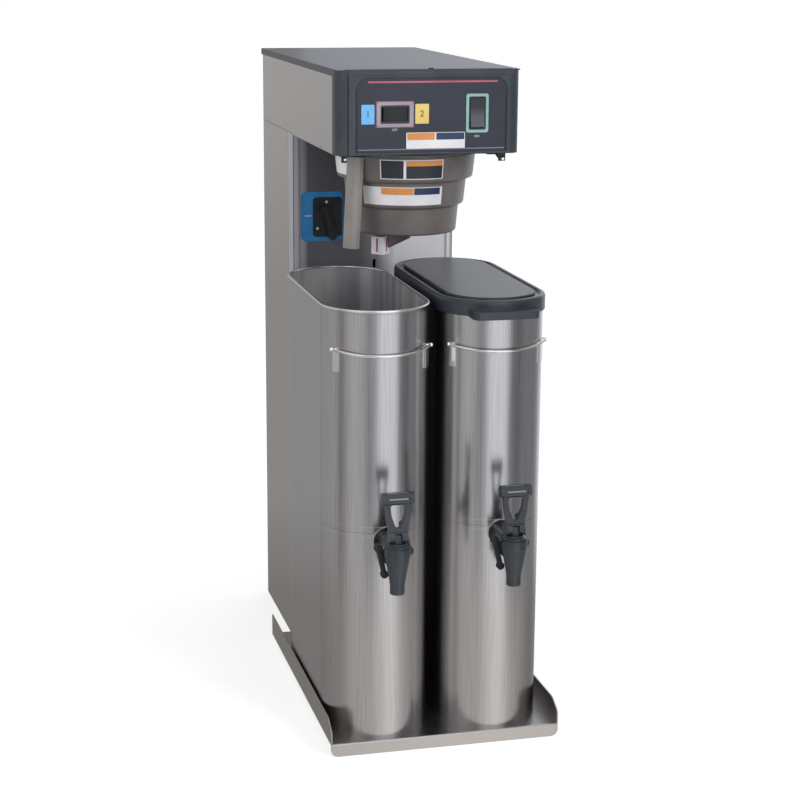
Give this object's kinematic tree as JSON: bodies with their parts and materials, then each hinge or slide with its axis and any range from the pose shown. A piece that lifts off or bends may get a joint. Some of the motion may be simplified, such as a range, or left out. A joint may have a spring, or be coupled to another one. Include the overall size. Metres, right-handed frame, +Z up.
{
  "type": "iced tea brewer",
  "caption": "Counter-top iced tea brewer: tall trunk with overhanging hood, sliding brew funnel, and two narrow steel dispensers with faucets on a tray",
  "frame": {"origin": "bottom centre of the bounding box, on the counter", "axes": "+Z up, front of the machine towards -Y, +X to the right as seen from the front"},
  "size_m": [0.31, 0.7394, 0.8776],
  "materials": {
    "lid_sheet": "dark brushed stainless sheet",
    "fastener": "small screw",
    "stainless": "brushed stainless sheet, vertical grain",
    "steel_inner": "plain steel",
    "rubber_pad": "matt rubber",
    "brass_fitting": "turned brass",
    "cap_plastic": "moulded blue-grey plastic, satin",
    "overlay": "polyester overlay, semi-gloss",
    "accent": "printed line",
    "blue_print": "light blue print",
    "yellow_print": "light yellow print",
    "pink_frame": "pale frame with a red edge",
    "green_frame": "pale green frame",
    "switch_black": "black moulded plastic",
    "black_plastic": "black moulded plastic",
    "blue_plate": "blue plate, semi-gloss",
    "funnel_plastic": "brown-grey moulded plastic",
    "grip_plastic": "lighter grey moulded plastic",
    "white_plastic": "white moulded plastic",
    "faucet_plastic": "black moulded plastic, satin",
    "lid_plastic": "black moulded plastic, satin",
    "lid_panel": "dark brown-grey moulded plastic"
  },
  "bodies": {
    "machine": {"top_lid": "lid_sheet", "lid_screw": "fastener", "hood_shell": "stainless", "hood_floor": "stainless", "trunk_shell": "stainless", "splash_panel": "stainless", "base_pan": "stainless", "feet": "rubber_pad", "tank_shelf": "steel_inner", "tank": "steel_inner", "spray_tube": "steel_inner", "sprayhead": "steel_inner", "water_inlet": "brass_fitting", "cord_gland": "black_plastic", "control_cap": "cap_plastic", "control_overlay": "overlay", "accent_line": "accent", "blue_tab": "blue_print", "yellow_tab": "yellow_print", "selector_bezel": "pink_frame", "selector_case": "switch_black", "start_bezel": "green_frame", "start_case": "switch_black", "cap_brackets": "black_plastic", "cap_studs": "steel_inner", "valve_plate": "blue_plate", "valve_face": "black_plastic", "tray": "stainless", "funnel_rails": "black_plastic"},
    "selector": {"selector_rocker": "switch_black"},
    "start_switch": {"start_rocker": "switch_black"},
    "splash_lever": {"valve_lever": "black_plastic"},
    "brew_funnel": {"funnel": "funnel_plastic", "funnel_handle": "grip_plastic", "funnel_tip": "white_plastic"},
    "left_dispenser": {"left_shell": "stainless", "left_floor": "stainless", "left_brackets": "stainless", "left_flange": "stainless", "left_wing_nut": "black_plastic", "left_faucet": "faucet_plastic", "left_bonnet": "faucet_plastic"},
    "left_front_handle": {"left_front_bail": "stainless"},
    "left_rear_handle": {"left_rear_bail": "stainless"},
    "left_faucet_handle": {"left_lever": "faucet_plastic"},
    "right_dispenser": {"right_shell": "stainless", "right_floor": "stainless", "right_brackets": "stainless", "right_flange": "stainless", "right_wing_nut": "black_plastic", "right_faucet": "faucet_plastic", "right_bonnet": "faucet_plastic"},
    "right_front_handle": {"right_front_bail": "stainless"},
    "right_rear_handle": {"right_rear_bail": "stainless"},
    "right_faucet_handle": {"right_lever": "faucet_plastic"},
    "right_cover": {"right_lid": "lid_plastic", "right_lid_panel": "lid_panel"}
  },
  "joints": [
    {"name": "selector_turn", "type": "hinge", "parent": "machine", "child": "selector", "pos_m": [-0.0456, -0.18075, 0.82], "axis": [0, 0, 1], "range_deg": [-12, 12]},
    {"name": "start_press", "type": "hinge", "parent": "machine", "child": "start_switch", "pos_m": [0.0635, -0.18075, 0.8203], "axis": [1, 0, 0], "range_deg": [0, 10], "stiffness_Nm_per_rad": 0.02, "springref_deg": -17.19},
    {"name": "splash_lever_turn", "type": "hinge", "parent": "machine", "child": "splash_lever", "pos_m": [-0.073, 0.12275, 0.659], "axis": [0, 1, 0], "range_deg": [0, 60]},
    {"name": "funnel_slide", "type": "slide", "parent": "machine", "child": "brew_funnel", "axis": [0, -1, 0], "range_m": [0, 0.21]},
    {"name": "left_dispenser_slide", "type": "slide", "parent": "machine", "child": "left_dispenser", "axis": [0, -1, 0], "range_m": [0, 0.12]},
    {"name": "left_front_bail_turn", "type": "hinge", "parent": "left_dispenser", "child": "left_front_handle", "pos_m": [-0.081, -0.26239, 0.535], "axis": [-1, 0, 0], "range_deg": [0, 30]},
    {"name": "left_rear_bail_turn", "type": "hinge", "parent": "left_dispenser", "child": "left_rear_handle", "pos_m": [-0.081, 0.02389, 0.535], "axis": [1, 0, 0], "range_deg": [0, 30]},
    {"name": "left_faucet_pull", "type": "hinge", "parent": "left_dispenser", "child": "left_faucet_handle", "pos_m": [-0.081, -0.35325, 0.312], "axis": [1, 0, 0], "range_deg": [0, 35], "stiffness_Nm_per_rad": 0.3, "springref_deg": -17.19},
    {"name": "right_dispenser_slide", "type": "slide", "parent": "machine", "child": "right_dispenser", "axis": [0, -1, 0], "range_m": [0, 0.12]},
    {"name": "right_front_bail_turn", "type": "hinge", "parent": "right_dispenser", "child": "right_front_handle", "pos_m": [0.072, -0.26239, 0.535], "axis": [-1, 0, 0], "range_deg": [0, 30]},
    {"name": "right_rear_bail_turn", "type": "hinge", "parent": "right_dispenser", "child": "right_rear_handle", "pos_m": [0.072, 0.02389, 0.535], "axis": [1, 0, 0], "range_deg": [0, 30]},
    {"name": "right_faucet_pull", "type": "hinge", "parent": "right_dispenser", "child": "right_faucet_handle", "pos_m": [0.072, -0.35325, 0.312], "axis": [1, 0, 0], "range_deg": [0, 35], "stiffness_Nm_per_rad": 0.3, "springref_deg": -17.19},
    {"name": "right_lid_lift", "type": "slide", "parent": "right_dispenser", "child": "right_cover", "axis": [0, 0, 1], "range_m": [0, 0.04]}
  ]
}
